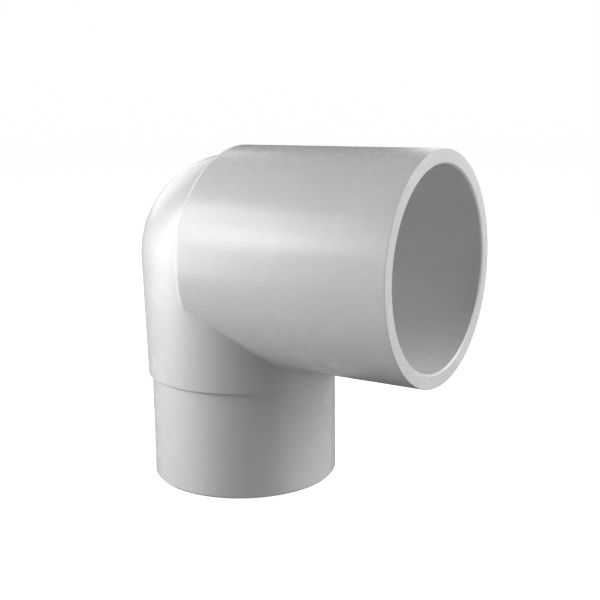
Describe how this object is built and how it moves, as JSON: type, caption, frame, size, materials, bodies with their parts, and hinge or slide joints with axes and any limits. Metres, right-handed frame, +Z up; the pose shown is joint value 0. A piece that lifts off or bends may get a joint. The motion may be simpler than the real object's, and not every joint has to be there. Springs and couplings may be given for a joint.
{
  "type": "pipe elbow",
  "caption": "Ninety-degree street elbow for solvent-weld pipe: a plain pipe-sized spigot turns through a rounded heel into a wide hub with a pipe socket.",
  "frame": {"origin": "centre of the spigot's end face, on the spigot's centreline; the part stands on this face", "axes": "+Z up along the spigot's centreline, +X out of the socket's mouth; the two centrelines cross at (0, 0, 107.2 mm), and the XZ plane is the mirror plane"},
  "size_m": [0.1519, 0.1024, 0.1584],
  "materials": {
    "pvc_spigot": "satin light grey-white rigid PVC, as moulded",
    "pvc_body": "satin light grey-white rigid PVC, as moulded",
    "pvc_hub": "satin light grey-white rigid PVC, as moulded"
  },
  "bodies": {
    "root": {"spigot_end": "pvc_spigot", "elbow_body": "pvc_body", "socket_hub": "pvc_hub"}
  },
  "joints": []
}
